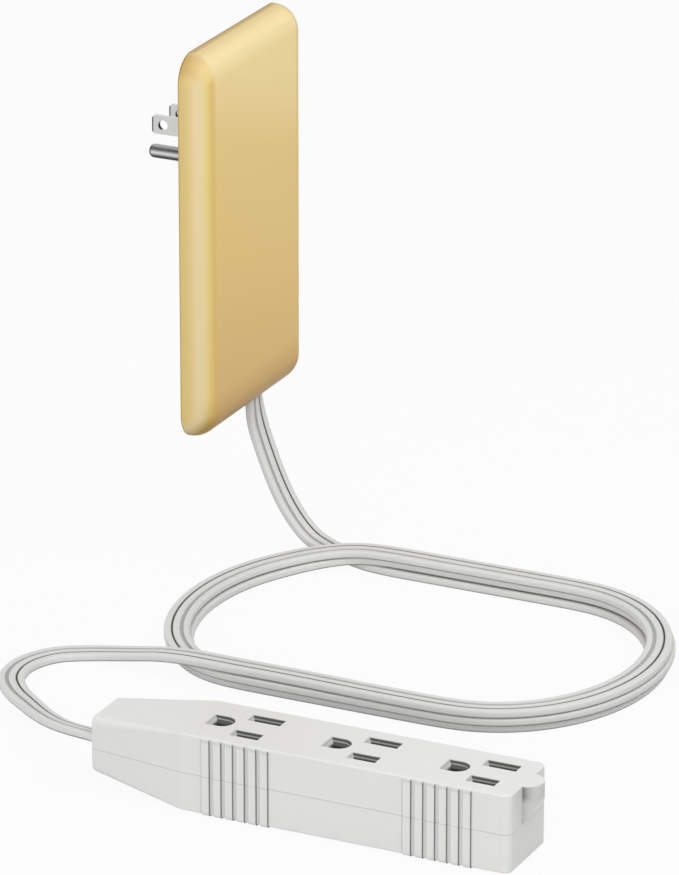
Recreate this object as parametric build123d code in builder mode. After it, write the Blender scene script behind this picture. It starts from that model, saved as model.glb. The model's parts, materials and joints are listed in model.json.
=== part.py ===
from build123d import *
import math
import os

os.makedirs("parts", exist_ok=True)

# Outlet extender: a wall cover with a plug on its back, a flat cord and a strip of three outlets.
# Millimetres. The origin is where the ground pin leaves the plug face. +Z is up, the prongs point
# along +Y into the wall, and the front of the cover faces -Y into the room.

# Plug prongs
BLADE_SPACING = 12.7
PIN_BELOW_BLADES = 11.9
BLADE_WIDTH = 6.35
BLADE_THICK = 1.5
BLADE_REACH = 17.0
BLADE_TIP_CUT = 0.8
BLADE_HOLE = 3.6
BLADE_HOLE_FROM_TIP = 4.1
PIN_DIAMETER = 4.76
PIN_ROOT = 5.4
PIN_REACH = 21.4
PIN_TIP_ROUND = 1.9
PRONG_CLEARANCE = 0.1
TAB_THICK = 1.2
TAB_WIDTH = 5.0
TAB_DROP = 6.0

# Wall cover
COVER_WIDTH = 77.8
COVER_HEIGHT = 134.5
COVER_WALL = 1.8
COVER_ROUND = 9.2
COVER_LIP = 0.4
FRONT_CORNER = 0.4
PIN_ABOVE_COVER_CENTRE = 19.9
PLUG_STANDOFF = 9.0
REAR_RECESS = 0.3
REAR_THICK = 1.8
REAR_FIT = 0.45
BOSS_WIDTH = 30.0
BOSS_HEIGHT = 32.0
BOSS_CORNER = 7.0
BOSS_WALL = 2.2
BOSS_EDGE = 0.8
FACE_WALL = 2.5
BLOCK_FIT = 0.2

# Screws and clamps
SCREW_DIAMETER = 2.2
SCREW_HEAD = 4.2
SCREW_HEAD_THICK = 0.8
SCREW_CLEARANCE = 0.2
PILOT_CLEARANCE = 0.05
COVER_POST = 6.0
COVER_POST_INSET = 11.5
COVER_SCREW_REACH = 5.0
HEAD_SINK = 0.1
CLAMP_POST = 4.6
CLAMP_SPAN = 15.4
CLAMP_WIDTH = 21.0
CLAMP_HEIGHT = 6.0
CLAMP_THICK = 1.6
CLAMP_RISE = 10.0
CLAMP_SCREW_REACH = 3.6

# Flat cord with three cores side by side
CORD_THICK = 2.7
CORE_PITCH = 2.95
CORD_EXIT_X = 8.0
CORD_INSIDE = 14.0
CORD_SLOT_CLEARANCE = 0.4
CORD_GAP = 0.2
CROSSING_GAP = 0.4
LEAD_DIAMETER = 2.0
LEAD_STANDOFF = 0.1

# Loop of cord on the floor, three layers high
FLOOR_Z = -137.0
LOOP_X = -56.3
LOOP_Y = -105.4
LOOP_WIDTH = 109.4
LOOP_LENGTH = 160.4
LOOP_END_STRAIGHT = 13.4
LOOP_LAYERS = 3
LOOP_EDGE = 0.9
CROSSING_Y = -84.0

# Outlet strip: its own lengths run from the middle outlet's slots, positive towards the cord
STRIP_X = -193.4
STRIP_Y = -153.4
STRIP_WIDTH = 28.0
STRIP_HEIGHT = 26.5
STRIP_FREE_END = -52.1
STRIP_NOSE_START = 60.0
STRIP_NOSE_END = 93.0
NOSE_WIDTH = 19.4
NOSE_BOTTOM = 4.9
NOSE_TOP = 23.8
NOSE_CORNER = 3.0
NOSE_ROUND = 1.0
END_CORNER = 2.9
EDGE_ROUND = 0.6
INNER_ROUND = 0.6
STRIP_WALL = 2.0
STRIP_TOP_WALL = 3.0
PARTING = 13.25
SEAM = 0.1
LUG_RADIUS = 4.9
LUG_STRAIGHT = 5.0

# Grip ribs
RIB_COUNT = 6
RIB_PITCH = 4.02
RIB_WIDTH = 2.67
RIB_PROUD = 0.5
RIB_TOP_GAP = 0.5
RIB_BOTTOM_ROUND = 1.5
RIB_TOP_ROUND = 0.4
RIB_GROUPS = (40.7, -27.9)

# Outlets
OUTLET_COUNT = 3
OUTLET_PITCH = 40.0
MOUTH_DEPTH = 2.4
MOUTH_FLARE = 1.1
NEUTRAL_MOUTH = 11.5
NEUTRAL_SHIFT = -0.25
LINE_MOUTH = 9.8
LINE_SHIFT = 0.4
SLOT_MOUTH_WIDTH = 4.9
GROUND_RADIUS = 4.1
GROUND_FLAT = 4.3

# Contacts inside the strip
BUS_THICK = 0.8
BUS_WIDTH = 3.4
LEAF_THICK = 0.6
LEAF_LENGTH = 8.0
LEAF_TOP = 21.5
SLOT_GRIP = 1.5
PIN_GRIP = 4.9
PIN_LEAF_LENGTH = 5.0
SEAT_HEIGHT = 3.6
SEAT_THICK = 1.6
SEAT_PLACES = (46.5, 26.0, -14.0, -46.5)
BUS_END = 52.0
BUS_FAR_END = -48.0
GROUND_BUS_END = 57.0
BUS_TAB_RISE = 4.0
LEAD_HEIGHT = 6.4
STRIP_POST = 5.0
POST_SINK = 0.6
NOSE_POST_SPAN = 19.2
NOSE_POST_FROM_START = 6.0
STRIP_SCREW_SEAT = 8.0
STRIP_SCREW_REACH = 12.0
SADDLE_START = 83.0
SADDLE_LENGTH = 5.0
SADDLE_WIDTH = 15.0
SADDLE_SCREW_SPAN = 11.8
SADDLE_SCREW_REACH = 7.0
STRIP_CORD_END = 81.0

# Sizes worked out from those above
COVER_DEPTH = COVER_LIP + COVER_ROUND
COVER_CORNER = COVER_ROUND + FRONT_CORNER
RIM_Y = -PLUG_STANDOFF
COVER_CENTRE_Z = -PIN_ABOVE_COVER_CENTRE
COVER_BOTTOM_Z = COVER_CENTRE_Z - COVER_HEIGHT / 2
COVER_INNER_Y = RIM_Y - COVER_DEPTH + COVER_WALL
REAR_OUTER_Y = RIM_Y - REAR_RECESS
REAR_INNER_Y = REAR_OUTER_Y - REAR_THICK
BOSS_CENTRE_Z = PIN_BELOW_BLADES / 2
COUNTERBORE = SCREW_HEAD_THICK + HEAD_SINK
POST_SPAN_X = COVER_WIDTH - 2 * COVER_POST_INSET
POST_SPAN_Z = COVER_HEIGHT - 2 * COVER_POST_INSET
CORD_WIDTH = 2 * CORE_PITCH + CORD_THICK
CORD_EXIT_Y = REAR_INNER_Y - CORD_THICK / 2
CORD_END_Z = COVER_BOTTOM_Z + CORD_INSIDE
CLAMP_Z = COVER_BOTTOM_Z + CLAMP_RISE
CORD_FRONT_Y = REAR_INNER_Y - CORD_THICK
LEAD_Y = REAR_INNER_Y - LEAD_DIAMETER / 2 - LEAD_STANDOFF
LOOP_CORNER = (LOOP_WIDTH - LOOP_END_STRAIGHT) / 2
LAYER_TOP = FLOOR_Z + (LOOP_LAYERS - 1) * CORD_THICK
CORD_REST_Z = FLOOR_Z + CORD_THICK / 2 + CROSSING_GAP
END_POST = STRIP_FREE_END + STRIP_WALL + STRIP_POST / 2 - POST_SINK
NOSE_POST = STRIP_NOSE_START + NOSE_POST_FROM_START
STRIP_POST_PLACES = ((0.0, END_POST), (-NOSE_POST_SPAN / 2, NOSE_POST), (NOSE_POST_SPAN / 2, NOSE_POST))
OUTLETS = [OUTLET_PITCH * (k - (OUTLET_COUNT - 1) / 2) for k in range(OUTLET_COUNT)]
SLOT_OFFSET = BLADE_SPACING / 2

# Cord route from the cover down to the loop, then from the loop round to the strip's nose
DROP_ROUTE = [
    (CORD_EXIT_X, CORD_EXIT_Y, CORD_END_Z),
    (CORD_EXIT_X, CORD_EXIT_Y, COVER_BOTTOM_Z - 2.0),
    (7.9, -17.4, FLOOR_Z + 32.6),
    (7.8, -24.6, FLOOR_Z + 15.9),
    (7.4, -33.6, FLOOR_Z + 4.9),
    (5.4, -43.5, CORD_REST_Z + CROSSING_GAP),
    (1.2, -55.0, CORD_REST_Z + CROSSING_GAP),
    (-2.2, -66.5, CORD_REST_Z + CROSSING_GAP),
]
TAIL_ROUTE = [
    (-110.8, CROSSING_Y + CORD_GAP, LAYER_TOP + CORD_THICK / 2 + CROSSING_GAP),
    (-111.1, -65.0, LAYER_TOP + CORD_THICK / 2 + CROSSING_GAP),
    (-110.6, -42.0, LAYER_TOP + CORD_THICK / 2 + CROSSING_GAP),
    (-109.5, -26.5, FLOOR_Z + 3.4),
    (-110.5, -12.0, CORD_REST_Z),
    (-116.5, -1.5, CORD_REST_Z),
    (-128.0, 4.0, CORD_REST_Z),
    (-140.5, 2.4, CORD_REST_Z),
    (-150.5, -5.0, CORD_REST_Z),
    (-158.5, -15.0, FLOOR_Z + 2.1),
    (-171.5, -25.5, FLOOR_Z + 5.2),
    (-186.5, -37.5, FLOOR_Z + 10.6),
    (STRIP_X, -55.0, FLOOR_Z + PARTING),
    (STRIP_X, STRIP_Y + STRIP_CORD_END, FLOOR_Z + PARTING),
]
RUN_SHARE = 0.45


def facing_room(y):
    """Plane across the cover at a depth, with its normal pointing into the room."""
    return Plane.XZ.offset(-y)


def strip_level(height):
    """Level plane through the strip at a height above the floor, centred on the middle outlet."""
    return Plane((STRIP_X, STRIP_Y, FLOOR_Z + height))


def strip_section(along):
    """Plane across the strip at a distance along it, with its origin on the floor."""
    return Plane((STRIP_X, STRIP_Y + along, FLOOR_Z), x_dir=(1, 0, 0), z_dir=(0, -1, 0))


def route_path(points):
    """Straight runs joined by the largest tangent arcs that the runs allow."""
    corners = [Vector(*point) for point in points]
    radii = []
    for before, corner, after in zip(corners, corners[1:], corners[2:]):
        arriving = corner - before
        leaving = after - corner
        turn = math.radians(arriving.get_angle(leaving))
        shorter = min(arriving.length, leaving.length)
        radii.append(RUN_SHARE * shorter / math.tan(turn / 2))
    with BuildLine() as route:
        FilletPolyline(*corners, radius=radii)
    return route.wires()[0], radii


def round_lead(points):
    """A round insulated core bent along a few points."""
    path, _ = route_path(points)
    start = Plane(path @ 0, z_dir=path % 0)
    with BuildPart() as lead:
        with BuildSketch(start):
            Circle(LEAD_DIAMETER / 2)
        sweep(path=path)
    return lead.part


def flat_cord(points):
    """A stretch of flat cord along a route, with its width along X at the start."""
    path, radii = route_path(points)
    start = Plane(path @ 0, x_dir=(1, 0, 0), z_dir=path % 0)
    with BuildPart() as cord:
        with BuildSketch(start) as section:
            SlotOverall(CORD_WIDTH, CORD_THICK)
        sweep(path=path)
    expected = section.sketch.area * path.length
    print("cord radii", [round(radius, 1) for radius in radii])
    print("cord length", round(path.length, 1), "volume share", round(cord.part.volume / expected, 4))
    return cord.part


def cover_form(inset):
    """The cover's pillow form, with its sides and front moved in by an inset."""
    with BuildPart() as form:
        with BuildSketch(facing_room(RIM_Y)):
            with Locations((0, COVER_CENTRE_Z)):
                RectangleRounded(COVER_WIDTH - 2 * inset, COVER_HEIGHT - 2 * inset, COVER_CORNER - inset)
        extrude(amount=COVER_DEPTH - inset)
        fillet(form.faces().sort_by(Axis.Y)[0].edges(), COVER_ROUND - inset)
    return form.part


def strip_form(inset, top_inset, edge, nose_corner, nose_round):
    """The strip's whole form with its roundings, moved in by an inset, and by another at the top."""
    half_width = STRIP_WIDTH / 2 - inset
    bottom = RIB_PROUD + inset
    top = STRIP_HEIGHT - top_inset
    free_end = STRIP_FREE_END + inset
    with BuildPart() as form:
        with BuildSketch(strip_level(bottom)):
            with Locations((0, (free_end + STRIP_NOSE_START) / 2)):
                Rectangle(2 * half_width, STRIP_NOSE_START - free_end)
        extrude(amount=top - bottom)
        fillet(form.edges().filter_by(Axis.Z).group_by(Axis.Y)[0], END_CORNER - inset)
        level_edges = form.faces().filter_by(Axis.Z).edges()
        fillet(level_edges.group_by(Axis.Y)[:-1], edge)
        with BuildSketch(strip_section(STRIP_NOSE_START)):
            with Locations((0, (top + bottom) / 2)):
                RectangleRounded(2 * half_width, top - bottom, edge)
        with BuildSketch(strip_section(STRIP_NOSE_END - inset)):
            with Locations((0, (NOSE_TOP - top_inset + NOSE_BOTTOM + inset) / 2)):
                RectangleRounded(
                    NOSE_WIDTH - 2 * inset,
                    NOSE_TOP - top_inset - NOSE_BOTTOM - inset,
                    nose_corner,
                )
        loft()
        fillet(form.faces().sort_by(Axis.Y)[-1].edges(), nose_round)
    return form.part


def screw(seat, reach):
    """A pan-head screw: its head stands on a plane and its shank goes back through it."""
    with BuildPart() as fastener:
        with BuildSketch(seat):
            Circle(SCREW_HEAD / 2)
        extrude(amount=SCREW_HEAD_THICK)
        with BuildSketch(seat):
            Circle(SCREW_DIAMETER / 2)
        extrude(amount=-reach)
    return fastener.part


# Front cover: a thin pillow shell with four screw posts and a slot for the cord at its bottom
with BuildPart() as front_cover:
    add(cover_form(0))
    add(cover_form(COVER_WALL), mode=Mode.SUBTRACT)
    with BuildSketch(facing_room(REAR_INNER_Y)):
        with Locations((0, COVER_CENTRE_Z)):
            with GridLocations(POST_SPAN_X, POST_SPAN_Z, 2, 2):
                Circle(COVER_POST / 2)
    extrude(amount=REAR_INNER_Y - COVER_INNER_Y + COVER_WALL / 2)
    with BuildSketch(facing_room(REAR_INNER_Y)):
        with Locations((0, COVER_CENTRE_Z)):
            with GridLocations(POST_SPAN_X, POST_SPAN_Z, 2, 2):
                Circle(SCREW_DIAMETER / 2 + PILOT_CLEARANCE)
    extrude(amount=COVER_SCREW_REACH, mode=Mode.SUBTRACT)
    with BuildSketch(Plane.XY.offset(COVER_BOTTOM_Z - COVER_WALL)):
        with Locations((CORD_EXIT_X, CORD_EXIT_Y)):
            SlotOverall(CORD_WIDTH + 2 * CORD_SLOT_CLEARANCE, CORD_THICK + 2 * CORD_SLOT_CLEARANCE)
    extrude(amount=4 * COVER_WALL, mode=Mode.SUBTRACT)
front_cover.part.label = "front_cover"
export_step(front_cover.part, "parts/front_cover.step")

# Rear cover: a plate inside the rim, with a hollow plug boss, clamp posts and screw holes
with BuildPart() as rear_cover:
    rear_inset = COVER_WALL + REAR_FIT
    with BuildSketch(facing_room(REAR_OUTER_Y)):
        with Locations((0, COVER_CENTRE_Z)):
            RectangleRounded(
                COVER_WIDTH - 2 * rear_inset, COVER_HEIGHT - 2 * rear_inset, COVER_CORNER - rear_inset
            )
    extrude(amount=REAR_THICK)
    with BuildSketch(facing_room(0)):
        with Locations((0, BOSS_CENTRE_Z)):
            RectangleRounded(BOSS_WIDTH, BOSS_HEIGHT, BOSS_CORNER)
    extrude(amount=-REAR_OUTER_Y)
    fillet(rear_cover.faces().sort_by(Axis.Y)[-1].edges(), BOSS_EDGE)
    with BuildSketch(facing_room(-FACE_WALL)):
        with Locations((0, BOSS_CENTRE_Z)):
            RectangleRounded(
                BOSS_WIDTH - 2 * BOSS_WALL, BOSS_HEIGHT - 2 * BOSS_WALL, BOSS_CORNER - BOSS_WALL
            )
    extrude(amount=-FACE_WALL - REAR_INNER_Y, mode=Mode.SUBTRACT)
    with BuildSketch(facing_room(0)):
        with Locations((-SLOT_OFFSET, PIN_BELOW_BLADES), (SLOT_OFFSET, PIN_BELOW_BLADES)):
            Rectangle(BLADE_THICK + 2 * PRONG_CLEARANCE, BLADE_WIDTH + 2 * PRONG_CLEARANCE)
        Circle(PIN_ROOT / 2 + PRONG_CLEARANCE)
    extrude(amount=FACE_WALL, mode=Mode.SUBTRACT)
    with BuildSketch(facing_room(REAR_OUTER_Y)):
        with Locations((0, COVER_CENTRE_Z)):
            with GridLocations(POST_SPAN_X, POST_SPAN_Z, 2, 2):
                Circle(SCREW_HEAD / 2 + SCREW_CLEARANCE)
    extrude(amount=COUNTERBORE, mode=Mode.SUBTRACT)
    with BuildSketch(facing_room(REAR_OUTER_Y)):
        with Locations((0, COVER_CENTRE_Z)):
            with GridLocations(POST_SPAN_X, POST_SPAN_Z, 2, 2):
                Circle(SCREW_DIAMETER / 2 + SCREW_CLEARANCE)
    extrude(amount=REAR_THICK, mode=Mode.SUBTRACT)
    with BuildSketch(facing_room(REAR_INNER_Y)):
        with Locations((CORD_EXIT_X, CLAMP_Z)):
            with GridLocations(CLAMP_SPAN, CLAMP_HEIGHT, 2, 1):
                Circle(CLAMP_POST / 2)
    extrude(amount=CORD_THICK)
    with BuildSketch(facing_room(CORD_FRONT_Y)):
        with Locations((CORD_EXIT_X, CLAMP_Z)):
            with GridLocations(CLAMP_SPAN, CLAMP_HEIGHT, 2, 1):
                Circle(SCREW_DIAMETER / 2 + PILOT_CLEARANCE)
    extrude(amount=CLAMP_THICK - CLAMP_SCREW_REACH - HEAD_SINK, mode=Mode.SUBTRACT)
rear_cover.part.label = "rear_cover"
export_step(rear_cover.part, "parts/rear_cover.step")

# Terminal block: fills the plug boss and holds the three prongs
with BuildPart() as terminal_block:
    block_wall = BOSS_WALL + BLOCK_FIT
    with BuildSketch(facing_room(-FACE_WALL)):
        with Locations((0, BOSS_CENTRE_Z)):
            RectangleRounded(BOSS_WIDTH - 2 * block_wall, BOSS_HEIGHT - 2 * block_wall, BOSS_CORNER - block_wall)
        with Locations((-SLOT_OFFSET, PIN_BELOW_BLADES), (SLOT_OFFSET, PIN_BELOW_BLADES)):
            Rectangle(
                BLADE_THICK + 2 * PRONG_CLEARANCE, BLADE_WIDTH + 2 * PRONG_CLEARANCE, mode=Mode.SUBTRACT
            )
        Circle(PIN_ROOT / 2 + PRONG_CLEARANCE, mode=Mode.SUBTRACT)
    extrude(amount=-FACE_WALL - REAR_INNER_Y)
terminal_block.part.label = "terminal_block"
export_step(terminal_block.part, "parts/terminal_block.step")


def flat_blade(side):
    """A flat prong with a clipped tip, a hole near it and a lead tab at its root."""
    with BuildPart() as blade:
        with BuildSketch(Plane.YZ.offset(side * SLOT_OFFSET - BLADE_THICK / 2)):
            with Locations(((BLADE_REACH + REAR_INNER_Y) / 2, PIN_BELOW_BLADES)):
                Rectangle(BLADE_REACH - REAR_INNER_Y, BLADE_WIDTH)
            with Locations((BLADE_REACH - BLADE_HOLE_FROM_TIP, PIN_BELOW_BLADES)):
                Circle(BLADE_HOLE / 2, mode=Mode.SUBTRACT)
        extrude(amount=BLADE_THICK)
        tip = blade.faces().sort_by(Axis.Y)[-1]
        chamfer(tip.edges().filter_by(Axis.X), BLADE_TIP_CUT)
        with BuildSketch(facing_room(REAR_INNER_Y)):
            with Locations((side * SLOT_OFFSET, PIN_BELOW_BLADES - TAB_DROP / 2)):
                Rectangle(TAB_WIDTH, BLADE_WIDTH + TAB_DROP)
        extrude(amount=TAB_THICK)
    return blade


# Blades and ground pin: the wide slot of the wall outlet is on the left as seen from the room
neutral_blade = flat_blade(-1)
neutral_blade.part.label = "neutral_blade"
export_step(neutral_blade.part, "parts/neutral_blade.step")
line_blade = flat_blade(1)
line_blade.part.label = "line_blade"
export_step(line_blade.part, "parts/line_blade.step")

with BuildPart() as ground_pin:
    with BuildSketch(facing_room(PIN_REACH)):
        Circle(PIN_DIAMETER / 2)
    extrude(amount=PIN_REACH)
    fillet(ground_pin.faces().sort_by(Axis.Y)[-1].edges(), PIN_TIP_ROUND)
    with BuildSketch(facing_room(0)):
        Circle(PIN_ROOT / 2)
    extrude(amount=-REAR_INNER_Y)
    with BuildSketch(facing_room(REAR_INNER_Y)):
        with Locations((0, -TAB_DROP / 2)):
            Rectangle(TAB_WIDTH, PIN_DIAMETER + TAB_DROP)
    extrude(amount=TAB_THICK)
ground_pin.part.label = "ground_pin"
export_step(ground_pin.part, "parts/ground_pin.step")

# Leads inside the cover: from each prong's tab down to its core of the cord
LEAD_TURN_UP = 0.32
LEAD_TURN_DOWN = 0.8
for name, x, core, top in (
    ("neutral_lead", -SLOT_OFFSET, -1, PIN_BELOW_BLADES - BLADE_WIDTH / 2 - TAB_DROP),
    ("ground_lead", 0.0, 0, -PIN_DIAMETER / 2 - TAB_DROP),
    ("line_lead", SLOT_OFFSET, 1, PIN_BELOW_BLADES - BLADE_WIDTH / 2 - TAB_DROP),
):
    core_x = CORD_EXIT_X + core * CORE_PITCH
    drop = top - CORD_END_Z
    lead = round_lead(
        [
            (x, LEAD_Y, top),
            (x, LEAD_Y, top - LEAD_TURN_UP * drop),
            (core_x, CORD_EXIT_Y, top - LEAD_TURN_DOWN * drop),
            (core_x, CORD_EXIT_Y, CORD_END_Z),
        ]
    )
    lead.label = name
    export_step(lead, f"parts/{name}.step")

# Cord clamp in the cover: a bar screwed over the cord onto two posts
with BuildPart() as cover_clamp:
    with BuildSketch(facing_room(CORD_FRONT_Y)):
        with Locations((CORD_EXIT_X, CLAMP_Z)):
            SlotOverall(CLAMP_WIDTH, CLAMP_HEIGHT)
            with GridLocations(CLAMP_SPAN, CLAMP_HEIGHT, 2, 1):
                Circle(SCREW_DIAMETER / 2 + SCREW_CLEARANCE, mode=Mode.SUBTRACT)
    extrude(amount=CLAMP_THICK)
cover_clamp.part.label = "cover_clamp"
export_step(cover_clamp.part, "parts/cover_clamp.step")

with BuildPart() as cover_clamp_screws:
    clamp_screw = screw(facing_room(CORD_FRONT_Y - CLAMP_THICK), CLAMP_SCREW_REACH)
    with Locations((CORD_EXIT_X, 0, CLAMP_Z)):
        with GridLocations(CLAMP_SPAN, CLAMP_HEIGHT, 2, 1):
            add(clamp_screw)
cover_clamp_screws.part.label = "cover_clamp_screws"
export_step(cover_clamp_screws.part, "parts/cover_clamp_screws.step")

with BuildPart() as cover_screws:
    cover_screw = screw(facing_room(REAR_OUTER_Y - COUNTERBORE).rotated((180, 0, 0)), COVER_SCREW_REACH)
    for x in (-POST_SPAN_X / 2, POST_SPAN_X / 2):
        for z in (-POST_SPAN_Z / 2, POST_SPAN_Z / 2):
            with Locations((x, 0, COVER_CENTRE_Z + z)):
                add(cover_screw)
cover_screws.part.label = "cover_screws"
export_step(cover_screws.part, "parts/cover_screws.step")

# Hanging lug at the strip's free end: a half-round tab with its underside cut back to the end wall
with BuildPart() as lug:
    lug_tip = STRIP_FREE_END - LUG_RADIUS
    lug_waist = STRIP_HEIGHT - LUG_STRAIGHT
    with BuildSketch(strip_level(PARTING)):
        with Locations((0, STRIP_FREE_END)):
            Circle(LUG_RADIUS)
    extrude(amount=STRIP_HEIGHT - PARTING)
    with BuildSketch(Plane((STRIP_X, STRIP_Y, FLOOR_Z), x_dir=(0, 1, 0), z_dir=(1, 0, 0))):
        with BuildLine():
            Polyline(
                (STRIP_FREE_END, PARTING), (lug_tip, lug_waist), (lug_tip, PARTING), close=True
            )
        make_face()
    extrude(amount=LUG_RADIUS, both=True, mode=Mode.SUBTRACT)

# Strip housing: an outer form with grip ribs, hollowed, and split into a top and a base
with BuildPart() as strip_shell:
    add(strip_form(0, 0, EDGE_ROUND, NOSE_CORNER, NOSE_ROUND))
    add(lug.part)
    for group in RIB_GROUPS:
        for k in range(RIB_COUNT):
            along = group + RIB_PITCH * (k - (RIB_COUNT - 1) / 2)
            with BuildSketch(strip_section(along + RIB_WIDTH / 2)) as rib:
                with Locations((0, (STRIP_HEIGHT - RIB_TOP_GAP) / 2)):
                    Rectangle(STRIP_WIDTH + 2 * RIB_PROUD, STRIP_HEIGHT - RIB_TOP_GAP)
                fillet(rib.vertices().group_by(Axis.Y)[0], RIB_BOTTOM_ROUND)
                fillet(rib.vertices().group_by(Axis.Y)[-1], RIB_TOP_ROUND)
            extrude(amount=RIB_WIDTH)
    add(
        strip_form(STRIP_WALL, STRIP_TOP_WALL, INNER_ROUND, INNER_ROUND, INNER_ROUND), mode=Mode.SUBTRACT
    )
    with BuildSketch(strip_section(STRIP_NOSE_END + STRIP_WALL)):
        with Locations((0, PARTING)):
            SlotOverall(CORD_WIDTH + 2 * CORD_SLOT_CLEARANCE, CORD_THICK + 2 * CORD_SLOT_CLEARANCE)
    extrude(amount=3 * STRIP_WALL, mode=Mode.SUBTRACT)


def mouth_shapes(inset):
    """The three openings of every outlet, moved in by an inset."""
    for along in OUTLETS:
        with Locations((SLOT_OFFSET, along + NEUTRAL_SHIFT)):
            Rectangle(SLOT_MOUTH_WIDTH - 2 * inset, NEUTRAL_MOUTH - 2 * inset)
        with Locations((-SLOT_OFFSET, along + LINE_SHIFT)):
            Rectangle(SLOT_MOUTH_WIDTH - 2 * inset, LINE_MOUTH - 2 * inset)
        with Locations((0, along + PIN_BELOW_BLADES)):
            Circle(GROUND_RADIUS - inset)
        with Locations((0, along + PIN_BELOW_BLADES + (GROUND_FLAT - inset) / 2)):
            Rectangle(2 * (GROUND_RADIUS - inset), GROUND_FLAT - inset)


# Strip top: outlets with flared mouths, and posts that take the screws
with BuildPart() as strip_top:
    add(strip_shell.part)
    split(bisect_by=strip_level(PARTING + SEAM), keep=Keep.TOP)
    with BuildSketch(strip_level(STRIP_HEIGHT)):
        mouth_shapes(0)
    extrude(
        amount=-MOUTH_DEPTH, taper=math.degrees(math.atan(MOUTH_FLARE / MOUTH_DEPTH)), mode=Mode.SUBTRACT
    )
    with BuildSketch(strip_level(STRIP_HEIGHT)):
        mouth_shapes(MOUTH_FLARE)
    extrude(amount=-2 * STRIP_TOP_WALL, mode=Mode.SUBTRACT)
    with BuildSketch(strip_level(PARTING)):
        with Locations(*STRIP_POST_PLACES):
            Circle(STRIP_POST / 2)
            Circle(SCREW_DIAMETER / 2 + PILOT_CLEARANCE, mode=Mode.SUBTRACT)
    extrude(until=Until.NEXT)
strip_top.part.label = "strip_top"
export_step(strip_top.part, "parts/strip_top.step")

# Strip base: seats for the contacts, a saddle for the cord and screw posts
with BuildPart() as strip_base:
    add(strip_shell.part)
    split(bisect_by=strip_level(PARTING), keep=Keep.BOTTOM)
    with BuildSketch(strip_level(RIB_PROUD + STRIP_WALL)):
        with Locations(*STRIP_POST_PLACES):
            Circle(STRIP_POST / 2)
    extrude(amount=PARTING - RIB_PROUD - STRIP_WALL)
    for along in SEAT_PLACES:
        with BuildSketch(strip_section(along + SEAT_THICK / 2)):
            with Locations((0, SEAT_HEIGHT)):
                Rectangle(
                    STRIP_WIDTH - STRIP_WALL,
                    SEAT_HEIGHT - RIB_PROUD - STRIP_WALL / 2,
                    align=(Align.CENTER, Align.MAX),
                )
        extrude(amount=SEAT_THICK)
    with BuildSketch(strip_level(PARTING + CORD_THICK / 2)) as saddle:
        with Locations((0, SADDLE_START + SADDLE_LENGTH / 2)):
            Rectangle(SADDLE_WIDTH, SADDLE_LENGTH)
    extrude(until=Until.NEXT, dir=(0, 0, -1))
    with BuildSketch(strip_section(SADDLE_START + SADDLE_LENGTH)):
        with Locations((0, PARTING + CORD_THICK / 2)):
            Rectangle(CORD_WIDTH + 2 * PRONG_CLEARANCE, 2 * CORD_THICK)
    extrude(amount=SADDLE_LENGTH, mode=Mode.SUBTRACT)
    with BuildSketch(strip_level(0)):
        with Locations(*STRIP_POST_PLACES):
            Circle(SCREW_HEAD / 2 + SCREW_CLEARANCE)
    extrude(amount=STRIP_SCREW_SEAT, mode=Mode.SUBTRACT)
    with BuildSketch(strip_level(0)):
        with Locations(*STRIP_POST_PLACES):
            Circle(SCREW_DIAMETER / 2 + SCREW_CLEARANCE)
    extrude(amount=PARTING, mode=Mode.SUBTRACT)
    with BuildSketch(strip_level(PARTING + CORD_THICK / 2)):
        with Locations((0, SADDLE_START + SADDLE_LENGTH / 2)):
            with GridLocations(SADDLE_SCREW_SPAN, SADDLE_LENGTH, 2, 1):
                Circle(SCREW_DIAMETER / 2 + PILOT_CLEARANCE)
    extrude(amount=CLAMP_THICK - SADDLE_SCREW_REACH, mode=Mode.SUBTRACT)
strip_base.part.label = "strip_base"
export_step(strip_base.part, "parts/strip_base.step")


def contact_bus(across, grips, grip, leaf_length, end, far_end):
    """A stamped strip with a pair of spring leaves at each outlet and a tab for its lead."""
    with BuildPart() as bus:
        with BuildSketch(strip_level(SEAT_HEIGHT)):
            with Locations((across, (end + far_end) / 2)):
                Rectangle(BUS_WIDTH, end - far_end)
            for along in grips:
                with Locations((across, along)):
                    Rectangle(grip + 2 * LEAF_THICK, leaf_length)
        extrude(amount=BUS_THICK)
        with BuildSketch(strip_level(SEAT_HEIGHT)):
            for along in grips:
                with Locations((across, along)):
                    with GridLocations(grip + LEAF_THICK, leaf_length, 2, 1):
                        Rectangle(LEAF_THICK, leaf_length)
        extrude(amount=LEAF_TOP - SEAT_HEIGHT)
        with BuildSketch(strip_section(end)):
            with Locations((across, SEAT_HEIGHT + (BUS_THICK + BUS_TAB_RISE) / 2)):
                Rectangle(BUS_WIDTH, BUS_THICK + BUS_TAB_RISE)
        extrude(amount=BUS_THICK)
    return bus.part


# Contacts: one stamped strip for each conductor, resting on the base's seats
ground_places = [along + PIN_BELOW_BLADES for along in OUTLETS]
for name, across, grips, grip, leaf_length, end, far_end in (
    ("neutral_bus", SLOT_OFFSET, OUTLETS, SLOT_GRIP, LEAF_LENGTH, BUS_END, BUS_FAR_END),
    ("line_bus", -SLOT_OFFSET, OUTLETS, SLOT_GRIP, LEAF_LENGTH, BUS_END, BUS_FAR_END),
    ("ground_bus", 0.0, ground_places, PIN_GRIP, PIN_LEAF_LENGTH, GROUND_BUS_END, min(ground_places)),
):
    bus = contact_bus(across, grips, grip, leaf_length, end, far_end)
    bus.label = name
    export_step(bus, f"parts/{name}.step")

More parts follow.
